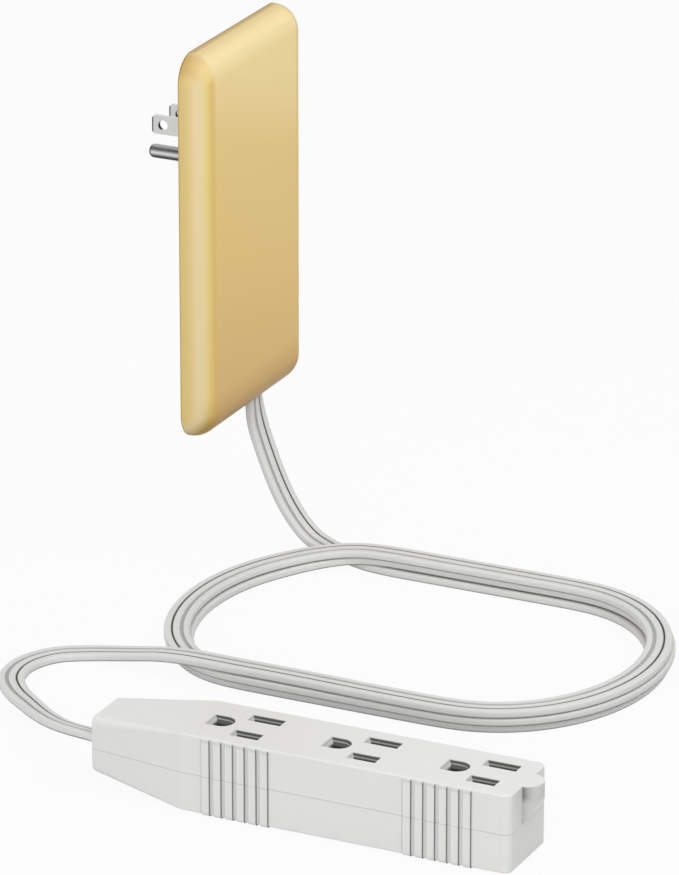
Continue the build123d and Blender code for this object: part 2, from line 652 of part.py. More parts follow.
# Leads inside the strip: from the cord's cores down to the tabs of the contact strips
STRIP_LEAD_BEND = 6.0
STRIP_LEAD_DROP = 18.0
for name, core, across, end in (
    ("strip_neutral_lead", 1, SLOT_OFFSET, BUS_END),
    ("strip_ground_lead", 0, 0.0, GROUND_BUS_END),
    ("strip_line_lead", -1, -SLOT_OFFSET, BUS_END),
):
    core_x = STRIP_X + core * CORE_PITCH
    bend_y = STRIP_Y + STRIP_CORD_END - STRIP_LEAD_BEND
    low_y = STRIP_Y + max(STRIP_CORD_END - STRIP_LEAD_DROP, end + STRIP_LEAD_BEND)
    lead = round_lead(
        [
            (core_x, STRIP_Y + STRIP_CORD_END, FLOOR_Z + PARTING),
            (core_x, bend_y, FLOOR_Z + PARTING),
            (STRIP_X + across, low_y, FLOOR_Z + LEAD_HEIGHT),
            (STRIP_X + across, STRIP_Y + end, FLOOR_Z + LEAD_HEIGHT),
        ]
    )
    lead.label = name
    export_step(lead, f"parts/{name}.step")

# Cord clamp in the strip's nose: a bar screwed over the cord onto the saddle
with BuildPart() as strip_clamp:
    with BuildSketch(strip_level(PARTING + CORD_THICK / 2)):
        with Locations((0, SADDLE_START + SADDLE_LENGTH / 2)):
            Rectangle(SADDLE_WIDTH, SADDLE_LENGTH)
            with GridLocations(SADDLE_SCREW_SPAN, SADDLE_LENGTH, 2, 1):
                Circle(SCREW_DIAMETER / 2 + SCREW_CLEARANCE, mode=Mode.SUBTRACT)
    extrude(amount=CLAMP_THICK)
strip_clamp.part.label = "strip_clamp"
export_step(strip_clamp.part, "parts/strip_clamp.step")

with BuildPart() as strip_clamp_screws:
    saddle_screw = screw(strip_level(PARTING + CORD_THICK / 2 + CLAMP_THICK), SADDLE_SCREW_REACH)
    with Locations((0, SADDLE_START + SADDLE_LENGTH / 2, 0)):
        with GridLocations(SADDLE_SCREW_SPAN, SADDLE_LENGTH, 2, 1):
            add(saddle_screw)
strip_clamp_screws.part.label = "strip_clamp_screws"
export_step(strip_clamp_screws.part, "parts/strip_clamp_screws.step")

with BuildPart() as strip_screws:
    strip_screw = screw(strip_level(STRIP_SCREW_SEAT).rotated((180, 0, 0)), STRIP_SCREW_REACH)
    with Locations(*[(across, along, 0) for across, along in STRIP_POST_PLACES]):
        add(strip_screw)
strip_screws.part.label = "strip_screws"
export_step(strip_screws.part, "parts/strip_screws.step")


def loop_solid(grow):
    """The stacked loop's outer shape, grown by a gap: two full layers and most of the top one."""
    with BuildPart() as stack:
        with BuildSketch(Plane((LOOP_X, LOOP_Y, FLOOR_Z))):
            outer = CORD_WIDTH / 2 + grow
            RectangleRounded(LOOP_WIDTH + 2 * outer, LOOP_LENGTH + 2 * outer, LOOP_CORNER + outer)
            RectangleRounded(
                LOOP_WIDTH - 2 * outer, LOOP_LENGTH - 2 * outer, LOOP_CORNER - outer, mode=Mode.SUBTRACT
            )
        extrude(amount=LOOP_LAYERS * CORD_THICK + grow)
        fillet(stack.faces().sort_by(Axis.Z)[-1].edges(), LOOP_EDGE)
        with BuildSketch(Plane((LOOP_X, CROSSING_Y, LAYER_TOP))):
            Rectangle(LOOP_WIDTH, LOOP_LENGTH, align=(Align.MAX, Align.MIN))
        extrude(amount=2 * CORD_THICK, mode=Mode.SUBTRACT)
    return stack.part


# Cord: the drop from the cover, the loop on the floor, and the tail into the strip
cord_loop = loop_solid(0)
cord_loop.label = "cord_loop"
export_step(cord_loop, "parts/cord_loop.step")

with BuildPart() as cord_drop:
    add(flat_cord(DROP_ROUTE))
    add(loop_solid(CORD_GAP), mode=Mode.SUBTRACT)
cord_drop.part.label = "cord_drop"
export_step(cord_drop.part, "parts/cord_drop.step")

with BuildPart() as cord_tail:
    add(flat_cord(TAIL_ROUTE[::-1]))
cord_tail.part.label = "cord_tail"
export_step(cord_tail.part, "parts/cord_tail.step")
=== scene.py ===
"""Outlet extender: a gold wall cover with a plug, a flat white cord in a loop, and a three-outlet strip.

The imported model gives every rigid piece. This script dresses those pieces, lays the three-core cord
along its route, seats the screws, and sets the floor, the light and the camera.
"""

import json
import logging
import math
from dataclasses import dataclass, field
from enum import Enum
from typing import Any, Sequence, Union

import bpy
import numpy as np
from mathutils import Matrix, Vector

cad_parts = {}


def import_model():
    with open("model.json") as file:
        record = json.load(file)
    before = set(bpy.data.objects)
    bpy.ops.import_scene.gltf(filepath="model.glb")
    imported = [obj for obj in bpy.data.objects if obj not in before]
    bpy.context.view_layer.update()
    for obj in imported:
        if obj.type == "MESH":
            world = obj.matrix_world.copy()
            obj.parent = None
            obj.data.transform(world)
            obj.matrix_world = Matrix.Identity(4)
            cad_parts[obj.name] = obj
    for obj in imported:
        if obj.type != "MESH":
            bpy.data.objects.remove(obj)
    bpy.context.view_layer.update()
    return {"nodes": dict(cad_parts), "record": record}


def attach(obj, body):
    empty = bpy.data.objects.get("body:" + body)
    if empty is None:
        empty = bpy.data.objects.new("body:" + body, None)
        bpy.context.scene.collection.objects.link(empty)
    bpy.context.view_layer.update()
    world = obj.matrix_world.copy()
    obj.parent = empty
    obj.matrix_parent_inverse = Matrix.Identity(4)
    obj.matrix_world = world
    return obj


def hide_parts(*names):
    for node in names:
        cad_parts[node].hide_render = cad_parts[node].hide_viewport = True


LOG = logging.getLogger("outlet_extender")
ROOT = "root"
MM = 0.001

Point = tuple[float, float, float]
Colour = tuple[float, float, float]
Stops = tuple[tuple[float, Colour], ...]
Share = Union[float, np.ndarray]
# A soft step: where its middle is, how wide it is and, where given, how strongly it shows.
Step = tuple[float, ...]

WHITE: Colour = (1.0, 1.0, 1.0)


class Slot(Enum):
    """Names of the record's material slots for the cord and the screws; nothing in the script reads them."""

    CORD = "cord_white"
    SCREW = "screw_steel"


def ease(share: Share) -> Share:
    """A smooth step from zero to one, for progress that may lie outside them."""
    held = np.clip(share, 0.0, 1.0)
    return held * held * (3.0 - 2.0 * held)


def dimmed(colour: Colour, share: float) -> Colour:
    """A colour cut to a share of its brightness."""
    red, green, blue = colour
    return share * red, share * green, share * blue


def put(name: str, data: bpy.types.ID) -> bpy.types.Object:
    """Make an object and link it to the scene.

    Args:
        name: The object's name.
        data: Its mesh, curve, light or camera.

    Returns:
        The new object.
    """
    made = bpy.data.objects.new(name, data)
    bpy.context.scene.collection.objects.link(made)
    return made


def plain_mesh(holder: bpy.types.Object) -> bpy.types.Mesh:
    """A new mesh of what an object's curve or modifiers make."""
    depsgraph = bpy.context.evaluated_depsgraph_get()
    return bpy.data.meshes.new_from_object(holder.evaluated_get(depsgraph))


class Wire:
    """A node socket that takes part in Python arithmetic: each operator adds a Math node."""

    def __init__(self, graph: "Graph", socket: bpy.types.NodeSocket) -> None:
        """Keep the graph and the output socket."""
        self.graph = graph
        self.socket = socket

    def _math(self, operation: str, first: "Operand", second: "Operand") -> "Wire":
        """Add one Math node and give its value."""
        return self.graph.node("ShaderNodeMath", {"operation": operation}, {0: first, 1: second})

    def __add__(self, other: "Operand") -> "Wire":
        """This value plus another."""
        return self._math("ADD", self, other)

    __radd__ = __add__

    def __sub__(self, other: "Operand") -> "Wire":
        """This value minus another."""
        return self._math("SUBTRACT", self, other)

    def __rsub__(self, other: "Operand") -> "Wire":
        """Another value minus this one."""
        return self._math("SUBTRACT", other, self)

    def __mul__(self, other: "Operand") -> "Wire":
        """This value times another."""
        return self._math("MULTIPLY", self, other)

    __rmul__ = __mul__

    def clamped(self) -> "Wire":
        """This value held between zero and one."""
        return self._math("MINIMUM", self._math("MAXIMUM", self, 0.0), 1.0)

    def size(self) -> "Wire":
        """This value without its sign."""
        return self._math("ABSOLUTE", self, 0.0)

    def fraction(self) -> "Wire":
        """The part of this value after its whole number."""
        return self._math("FRACT", self, 0.0)

    def over(self, level: float, blur: float, strength: float = 1.0) -> "Wire":
        """The strength where this value is over a level, fading to zero below it across the blur."""
        step = ((self - (level - blur / 2)) * (1.0 / blur)).clamped()
        return step if strength == 1.0 else step * strength

    def under(self, level: float, blur: float, strength: float = 1.0) -> "Wire":
        """The strength where this value is under a level, fading to zero above it across the blur."""
        step = 1.0 - self.over(level, blur)
        return step if strength == 1.0 else step * strength

    def between(self, low: Step, high: Step) -> "Wire":
        """Where this value is over one step and under another."""
        return self.over(*low) * self.under(*high)


Operand = Union[Wire, float]
Axes = tuple[Wire, Wire, Wire]


class Graph:
    """A node tree that is filled by one method."""

    def __init__(self, tree: bpy.types.NodeTree) -> None:
        """Empty the tree and keep it."""
        self.tree = tree
        tree.nodes.clear()

    def add(self, kind: str, settings: dict[str, Any], inputs: dict[Any, Any]) -> bpy.types.Node:
        """Add a node, set its own settings first, and then its sockets.

        Args:
            kind: The node's type.
            settings: Attributes of the node, such as an operation, or "stops" for a ramp.
            inputs: A value, a wire or a list of wires, by socket name or number.

        Returns:
            The new node.
        """
        node = self.tree.nodes.new(kind)
        for name, value in settings.items():
            if name == "stops":
                elements = node.color_ramp.elements
                while len(elements) < len(value):
                    elements.new(0.5)
                for element, (place, colour) in zip(elements, value):
                    element.position = place
                    element.color = (*colour, 1.0)
            else:
                setattr(node, name, value)
        for name, value in inputs.items():
            socket = node.inputs[name]
            if isinstance(value, (Wire, list)):
                for wire in [value] if isinstance(value, Wire) else value:
                    self.tree.links.new(wire.socket, socket)
            elif socket.type == "RGBA":
                socket.default_value = (*value, 1.0)
            else:
                socket.default_value = value
        return node

    def node(self, kind: str, settings: dict[str, Any], inputs: dict[Any, Any], out: Any = 0) -> Wire:
        """Add a node, as add does, and give one of its outputs, by name or number."""
        return Wire(self, self.add(kind, settings, inputs).outputs[out])

    def noise(self, scale: float, detail: float, stretch: Point = (1.0, 1.0, 1.0)) -> Wire:
        """Noise on object coordinates.

        Args:
            scale: Features per metre.
            detail: Octaves.
            stretch: Scale of each axis before the noise.

        Returns:
            The noise, about one half on average.
        """
        place = self.node("ShaderNodeTexCoord", {}, {}, "Object")
        turned = self.node("ShaderNodeMapping", {}, {"Vector": place, "Scale": stretch})
        return self.node("ShaderNodeTexNoise", {}, {"Vector": turned, "Scale": scale, "Detail": detail})

    def axes(self, source: Wire) -> Axes:
        """The parts of a vector along X, Y and Z."""
        parts = self.add("ShaderNodeSeparateXYZ", {}, {"Vector": source}).outputs
        return Wire(self, parts[0]), Wire(self, parts[1]), Wire(self, parts[2])

    def position(self) -> Axes:
        """The place on the object, in metres."""
        return self.axes(self.node("ShaderNodeTexCoord", {}, {}, "Object"))

    def facing(self) -> Axes:
        """The way the surface faces."""
        return self.axes(self.node("ShaderNodeNewGeometry", {}, {}, "Normal"))

    def ramp(self, stops: Stops, place: Wire) -> Wire:
        """The colour at a place between zero and one along a ramp."""
        return self.node("ShaderNodeValToRGB", {"stops": stops}, {"Fac": place})

    def mix(self, factor: Operand, low: Union[Wire, Colour], high: Union[Wire, Colour]) -> Wire:
        """Blend two colours: a factor of zero gives the first, and one the second."""
        return self.node("ShaderNodeMix", {"data_type": "RGBA"}, {0: factor, 6: low, 7: high}, 2)

    def bump(self, height: Wire, strength: float, distance: float) -> Wire:
        """A normal raised by a height between zero and one, which stands for a distance in metres."""
        return self.node("ShaderNodeBump", {}, {"Height": height, "Strength": strength, "Distance": distance})


class Finish:
    """Base of every surface finish."""

    name: str

    def shade(self, graph: Graph) -> dict[str, Any]:
        """The inputs of the Principled shader by name; each finish gives its own."""
        raise NotImplementedError

    def material(self) -> bpy.types.Material:
        """Make the material.

        Returns:
            The new material.
        """
        made = bpy.data.materials.new(self.name)
        made.use_nodes = True
        graph = Graph(made.node_tree)
        shader = graph.node("ShaderNodeBsdfPrincipled", {}, self.shade(graph))
        graph.add("ShaderNodeOutputMaterial", {}, {"Surface": shader})
        return made


@dataclass(frozen=True)
class SatinGoldPaintedLight(Finish):
    """Satin gold paint with painted light: painted highlights towards the top and round the sides, painted
    shade at the foot, rim and corners.
    """

    name: str = "satin_gold_painted_light"
    # Painted light: the gold runs paler with height above the foot, and towards +x by the slant.
    foot: float = -0.0872
    height: float = 0.1345
    slant: float = 2.2
    drift_share: float = 0.06
    flake_share: float = 0.05
    flake_gloss: float = 0.16
    # Painted light by height: darker gold low down, paler high up.
    painted_light_by_height: Stops = (
        (0.05, (0.700, 0.450, 0.150)),
        (0.42, (0.780, 0.550, 0.180)),
        (0.71, (0.810, 0.585, 0.210)),
        (0.81, (0.855, 0.645, 0.275)),
        (0.90, (0.885, 0.700, 0.315)),
    )
    # Painted highlights on the side roundings, by how far the surface faces sideways.
    painted_side_highlights: Stops = (
        (0.20, (0.715, 0.485, 0.140)),
        (0.46, (0.780, 0.580, 0.200)),
        (0.60, (0.785, 0.630, 0.285)),
        (0.70, (0.770, 0.635, 0.355)),
        (0.84, (0.790, 0.630, 0.350)),
        (0.98, (0.700, 0.525, 0.205)),
    )
    # Colour of the painted highlight on the upper roundings, then the colour of the painted shade.
    bright: Colour = (0.880, 0.735, 0.420)
    deep: Colour = (0.340, 0.170, 0.005)
    # Masks of the painted highlights and painted shade: sides, upper roundings, upper side edges, foot, faces
    # turned down, back rim, top and shoulder lines.
    side: Step = (0.15, 0.24)
    side_top: Step = (0.32, 0.56)
    painted_top_highlight: Step = (0.22, 0.40, 0.50)
    crown_loss: float = 0.55
    painted_corner_shade: Step = (0.27, 0.44, 0.60)
    painted_foot_shade: Step = (-0.0755, 0.009, 0.42)
    underside: tuple[float, float] = (-1.3, 0.54)
    low_sides: Step = (0.72, 0.40)
    rim: Step = (-0.00945, 0.0003, 0.45)
    top_line: Step = (0.988, 0.016, 0.40)
    shoulder: Step = (0.80, 0.36, 0.26)
    metallic: float = 0.30
    roughness: float = 0.42

    def shade(self, graph: Graph) -> dict[str, Any]:
        """Blend the golds by height and by the way the surface faces, as painted light and painted shade, and
        by fine flakes.

        Args:
            graph: The material's nodes.

        Returns:
            Inputs of the Principled shader by name.
        """
        drift = graph.noise(scale=9.0, detail=2.0) - 0.5
        flake = graph.noise(scale=2600.0, detail=1.0)
        speck = flake - 0.5
        x, y, z = graph.position()
        sideways, inwards, upwards = graph.facing()
        aside = sideways.size()
        rising = upwards.clamped()
        front = (inwards * -1.0).clamped()
        # Painted light: paler higher up and towards +x; the drift and the flakes add real tone.
        risen = (z - self.foot) * (1.0 / self.height) + x * self.slant
        risen = risen + drift * self.drift_share + speck * self.flake_share
        paint = graph.ramp(self.painted_light_by_height, risen)
        # Painted highlights round the sides.
        around = aside.over(*self.side) * upwards.under(*self.side_top)
        paint = graph.mix(around, paint, graph.ramp(self.painted_side_highlights, aside))
        # Painted highlight on the upper roundings.
        painted_top_highlight = (rising * front).over(*self.painted_top_highlight) * (1.0 - self.crown_loss * aside)
        paint = graph.mix(painted_top_highlight, paint, self.bright)
        # Painted shade at the foot, on faces turned down and at the upper side edges, and painted dark lines
        # at the back rim, top and shoulder.
        tilt, strength = self.underside
        low = z.under(*self.painted_foot_shade) + (upwards * tilt).clamped() * strength
        lines = y.over(*self.rim) + upwards.over(*self.top_line) + upwards.over(*self.shoulder) * (1.0 - aside)
        shadow = low * aside.under(*self.low_sides) + (aside * rising).over(*self.painted_corner_shade) + lines
        return {
            "Base Color": graph.mix(shadow.clamped(), paint, self.deep),
            "Metallic": self.metallic,
            "Roughness": self.roughness + speck * self.flake_gloss,
            "Normal": graph.bump(flake, strength=0.05, distance=0.00004),
        }


@dataclass(frozen=True)
class MouldedPlastic(Finish):
    """Moulded plastic with a faint fine grain."""

    name: str
    colour: Colour
    roughness: float
    grain: float = 0.06
    dimmest: float = 0.965
    gloss_share: float = 0.14

    def shade(self, graph: Graph) -> dict[str, Any]:
        """Vary tone, gloss and height a little.

        Args:
            graph: The material's nodes.

        Returns:
            Inputs of the Principled shader by name.
        """
        drift = graph.noise(scale=24.0, detail=2.0)
        grain = graph.noise(scale=1800.0, detail=2.0)
        return {
            "Base Color": graph.mix(drift, dimmed(self.colour, self.dimmest), self.colour),
            "Roughness": self.roughness + (grain - 0.5) * self.gloss_share,
            "Normal": graph.bump(grain, strength=self.grain, distance=0.00005),
        }


@dataclass(frozen=True)
class StripPlasticPaintedShade(MouldedPlastic):
    """The strip's plastic, with painted shade in the outlets, beside the grip ribs and round the lug, and
    painted highlights on rib edges and the lug's underside; millimetres.
    """

    # Colours of the painted shade and the painted highlights.
    dark: Colour = (0.075, 0.075, 0.072)
    pale: Colour = (0.95, 0.95, 0.94)
    middle: tuple[float, float] = (-193.4, -153.4)
    top: float = -110.5
    # Painted shade in the outlet mouths, lifted on the lit end walls, in a paler ledge band and on the round
    # hole's floor.
    mouth_reach: Step = (9.6, 0.4)
    mouth_ends: tuple[Step, Step] = ((-47.0, 0.4), (57.5, 0.4))
    mouth_rim: Step = (0.22, 0.30)
    lit_wall: Step = (1.9, 0.3, 0.90)
    ledge: tuple[Step, Step] = ((1.00, 0.15), (1.40, 0.15, 0.44))
    pin_hole: Step = (3.4, 0.4)
    pin_floor: Step = (1.5, 0.3, 0.07)
    # Painted shade lines and gaps beside the grip ribs, painted highlights on their other edges, painted shade
    # on their tops.
    rib_groups: tuple[float, ...] = (40.7, -27.9)
    rib_count: int = 6
    rib_pitch: float = 4.02
    rib_start: float = 0.08
    rib_blur: float = 0.02
    rib_line: tuple[Step, Step] = ((0.150, 0.04), (0.214, 0.03))
    rib_edge: tuple[Step, Step] = ((0.710, 0.03), (0.775, 0.03))
    line_shade: float = 0.72
    gap_shade: float = 0.16
    painted_edge_highlight: float = 0.20
    side: Step = (13.7, 0.2)
    side_top: Step = (0.7, 0.8)
    rib_face: Step = (14.06, 0.08)
    rib_top: Step = (1.6, 0.8, 0.16)
    end: float = -52.1
    # Painted shade round the lug, deepest in its nook, and painted light on its sloping underside.
    lug: Step = (0.05, 0.08)
    lug_top: Step = (0.35, 0.3)
    lug_shade: float = 0.20
    lug_fade: float = 0.19
    nook: Step = (4.8, 2.4)
    nook_shade: float = 0.70
    soft_shade: float = 0.12
    underside: Step = (-0.2, 0.3)
    painted_underside_light: float = 0.42
    shade_gloss: float = 0.25

    def in_outlets(self, across: Wire, along: Wire, depth: Wire, facing: Wire) -> Wire:
        """Painted shade in the mouths, less on their lit end walls, their ledge and the round hole's floor.

        Args:
            across: Distance from the strip's middle line.
            along: Place along the strip, growing towards the nose.
            depth: Depth under the strip's top.
            facing: How far the surface faces the nose.

        Returns:
            The painted shade, between zero and one.
        """
        mouth = across.under(*self.mouth_reach) * along.between(*self.mouth_ends) * depth.over(*self.mouth_rim)
        lit = (facing * -1.0).clamped() * depth.under(*self.lit_wall)
        floor = across.under(*self.pin_hole) * depth.over(*self.pin_floor)
        return mouth * (1.0 - depth.between(*self.ledge) - floor - lit)

    def on_ribs(self, across: Wire, along: Wire, depth: Wire) -> tuple[Wire, Wire]:
        """Painted shade between the grip ribs, with a painted dark line at one edge of each and a painted
        highlight at the other.

        Args:
            across: Distance from the strip's middle line.
            along: Place along the strip, growing towards the nose.
            depth: Depth under the strip's top.

        Returns:
            The painted shade, and the strength of the painted highlight on the ribs' edges.
        """
        shade: Operand = 0.0
        pale: Operand = 0.0
        ends = ((self.rib_start, self.rib_blur), (float(self.rib_count), self.rib_blur))
        for group in self.rib_groups:
            place = (along - group) * (1.0 / self.rib_pitch) + 0.5 * self.rib_count
            within = place.between(*ends)
            phase = place.fraction()
            line = phase.between(*self.rib_line) * self.line_shade
            gap = (phase.over(*self.rib_edge[1]) + phase.under(*self.rib_line[0])) * self.gap_shade
            shade = (line + gap) * within + shade
            pale = phase.between(*self.rib_edge) * within + pale
        beside = across.over(*self.side) * depth.over(*self.side_top)
        top = across.over(*self.rib_face) * depth.under(*self.rib_top)
        return shade * beside + top, pale * beside * self.painted_edge_highlight

    def round_lug(self, along: Wire, depth: Wire, rising: Wire) -> tuple[Wire, Wire]:
        """Painted shade on the lug, deep in the nook where it meets the end, and none on its sloping
        underside, which is painted paler.

        Args:
            along: Place along the strip, growing towards the nose.
            depth: Depth under the strip's top.
            rising: How far the surface faces up.

        Returns:
            The painted shade, and how far the underside is painted paler.
        """
        past = self.end - along
        lug = past.over(*self.lug)
        under = lug * rising.under(*self.underside)
        fade = (1.0 - past * self.lug_fade).clamped()
        nook = fade * fade * depth.under(*self.nook) * self.nook_shade
        soft = fade * depth.over(*self.nook) * self.soft_shade
        shade = lug * depth.over(*self.lug_top) * (1.0 - under) * (self.lug_shade + nook + soft)
        return shade, under * self.painted_underside_light

    def shade(self, graph: Graph) -> dict[str, Any]:
        """Paint shade and highlights into the plastic by its place on the strip.

        Args:
            graph: The material's nodes.

        Returns:
            Inputs of the Principled shader by name.
        """
        inputs = super().shade(graph)
        x, y, z = graph.position()
        _, facing, rising = graph.facing()
        across = (x * (1.0 / MM) - self.middle[0]).size()
        along = y * (1.0 / MM) - self.middle[1]
        depth = self.top - z * (1.0 / MM)
        # Painted shade in the outlets, by the ribs and round the lug; painted highlights on the rib edges and
        # the lug's underside.
        ribs, edges = self.on_ribs(across, along, depth)
        lug, underside = self.round_lug(along, depth, rising)
        shadow = (self.in_outlets(across, along, depth, facing) + ribs + lug).clamped()
        paint = graph.mix(edges + underside, inputs["Base Color"], self.pale)
        inputs["Base Color"] = graph.mix(shadow, paint, self.dark)
        inputs["Roughness"] = inputs["Roughness"] + shadow * self.shade_gloss
        return inputs


@dataclass(frozen=True)
class CordVinylPaintedShade(Finish):
    """Soft white vinyl, with painted shade in the grooves between the cores and along the seams between
    stacked layers.
    """

    name: str = "cord_vinyl_painted_shade"
    colour: Colour = (0.70, 0.70, 0.69)
    # Colour of the painted shade in the grooves and seams.
    groove: Colour = (0.12, 0.12, 0.12)
    roughness: float = 0.46
    dimmest: float = 0.955
    gloss_share: float = 0.12
    groove_gloss: float = 0.15

    def shade(self, graph: Graph) -> dict[str, Any]:
        """Paint shade by the groove attribute and add a slow drift.

        Args:
            graph: The material's nodes.

        Returns:
            Inputs of the Principled shader by name.
        """
        groove = graph.node("ShaderNodeAttribute", {"attribute_name": "groove"}, {}, "Fac")
        drift = graph.noise(scale=40.0, detail=2.0)
        skin = graph.noise(scale=2200.0, detail=2.0)
        vinyl = graph.mix(drift, dimmed(self.colour, self.dimmest), self.colour)
        return {
            # Painted shade where the groove attribute is set.
            "Base Color": graph.mix(groove, vinyl, self.groove),
            "Roughness": self.roughness + (skin - 0.5) * self.gloss_share + groove * self.groove_gloss,
            "Normal": graph.bump(skin, strength=0.05, distance=0.00004),
        }


@dataclass(frozen=True)
class Metal(Finish):
    """Plain or plated metal with fine drawn lines."""

    name: str
    colour: Colour
    roughness: float
    lines: Point = (1.0, 0.06, 1.0)
    dimmest: float = 0.86
    gloss_share: float = 0.18

    def shade(self, graph: Graph) -> dict[str, Any]:
        """Vary gloss along fine lines.

        Args:
            graph: The material's nodes.

        Returns:
            Inputs of the Principled shader by name.
        """
        drawn = graph.noise(scale=2400.0, detail=2.0, stretch=self.lines)
        drift = graph.noise(scale=120.0, detail=2.0)
        return {
            "Base Color": graph.mix(drift, dimmed(self.colour, self.dimmest), self.colour),
            "Metallic": 1.0,
            "Roughness": self.roughness + (drawn - 0.5) * self.gloss_share,
            "Normal": graph.bump(drawn, strength=0.06, distance=0.00003),
        }


@dataclass(frozen=True)
class TurnedPinPaintedReflections(Metal):
    """A bright turned pin, with painted reflections along it as dark and pale stripes, and painted shade on
    its tip edge.
    """

    # Painted reflections: colour by how far the surface faces up or down.
    painted_reflection_bands: Stops = (
        (0.24, (0.020, 0.020, 0.020)),
        (0.34, (0.170, 0.170, 0.170)),
        (0.45, (0.530, 0.530, 0.525)),
        (0.55, (0.720, 0.720, 0.715)),
        (0.65, (0.420, 0.420, 0.415)),
        (0.74, (0.150, 0.150, 0.148)),
        (0.81, (0.105, 0.105, 0.104)),
        (0.87, (0.150, 0.150, 0.148)),
        (0.94, (0.370, 0.370, 0.365)),
    )
    # Where the painted shade on the tip's edge lies, and how strong it is.
    tip: tuple[Step, Step] = ((0.35, 0.30), (0.94, 0.08, 0.85))

    def shade(self, graph: Graph) -> dict[str, Any]:
        """Paint reflections into the metal by how far it faces up or down.

        Args:
            graph: The material's nodes.

        Returns:
            Inputs of the Principled shader by name.
        """
        inputs = super().shade(graph)
        _, outwards, upwards = graph.facing()
        # Painted reflections by facing, and painted shade at the tip's edge.
        steel = graph.ramp(self.painted_reflection_bands, upwards * 0.5 + 0.5)
        inputs["Base Color"] = graph.mix(outwards.between(*self.tip), steel, self.painted_reflection_bands[0][1])
        return inputs


@dataclass(frozen=True)
class BladePlatePaintedShade(Metal):
    """Plated blades, with painted shade along the tip's edge and inside the hole; metres."""

    # Where the painted shade lies at the tip's edge and in the hole, and its colour.
    tip: Step = (0.0165, 0.0002, 0.85)
    flat: Step = (0.5, 0.2)
    hole: Step = (0.35, 0.3)
    dark: Colour = (0.020, 0.020, 0.020)

    def shade(self, graph: Graph) -> dict[str, Any]:
        """Paint shade on the plate at the tip and in the hole.

        Args:
            graph: The material's nodes.

        Returns:
            Inputs of the Principled shader by name.
        """
        inputs = super().shade(graph)
        _, along, _ = graph.position()
        sideways, inwards, _ = graph.facing()
        # Painted shade at the tip's edge and in the hole.
        edge = along.over(*self.tip) * sideways.size().over(*self.flat)
        hole = (inwards * -1.0).over(*self.hole)
        inputs["Base Color"] = graph.mix((edge + hole).clamped(), inputs["Base Color"], self.dark)
        return inputs


@dataclass
class RigidPieces:
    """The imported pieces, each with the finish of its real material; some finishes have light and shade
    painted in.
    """

    nodes: dict[str, bpy.types.Object]
    finishes: dict[str, Finish] = field(
        default_factory=lambda: {
            "cover_gold": SatinGoldPaintedLight(),
            "housing_white": MouldedPlastic("housing_plastic", (0.735, 0.735, 0.725), 0.38),
            "strip_white": StripPlasticPaintedShade("strip_plastic_painted_shade", (0.735, 0.735, 0.725), 0.38),
            "block_white": MouldedPlastic("block_plastic", (0.68, 0.68, 0.66), 0.55, 0.12),
            "lead_black": MouldedPlastic("black_core", (0.02, 0.02, 0.02), 0.5),
            "lead_white": MouldedPlastic("white_core", (0.72, 0.72, 0.70), 0.5),
            "lead_green": MouldedPlastic("green_core", (0.03, 0.22, 0.07), 0.5),
            "prong_nickel": BladePlatePaintedShade("nickel_plate_painted_shade", (0.68, 0.68, 0.67), 0.30),
            "contact_brass": Metal("contact_brass", (0.60, 0.45, 0.20), 0.36),
            "screw_steel": Metal("zinc_steel", (0.56, 0.56, 0.57), 0.34),
            "pin_steel": TurnedPinPaintedReflections("pin_steel", (0.42, 0.41, 0.40), 0.26),
        }
    )
    special: dict[str, str] = field(
        default_factory=lambda: {
            "strip_top": "strip_white",
            "strip_base": "strip_white",
            "ground_pin": "pin_steel",
        }
    )
    made: dict[str, bpy.types.Material] = field(default_factory=dict)

    def dress(self, record: dict[str, Any]) -> None:
        """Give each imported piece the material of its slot.

        Args:
            record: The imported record.
        """
        self.made = {slot: finish.material() for slot, finish in self.finishes.items()}
        for part in record["subparts"]:
            slot = self.special.get(part["node"], part["material_slot"])
            if slot not in self.made:
                continue
            for place in self.nodes[part["node"]].material_slots:
                place.material = self.made[slot]
            LOG.info("%s dressed in %s", part["node"], slot)


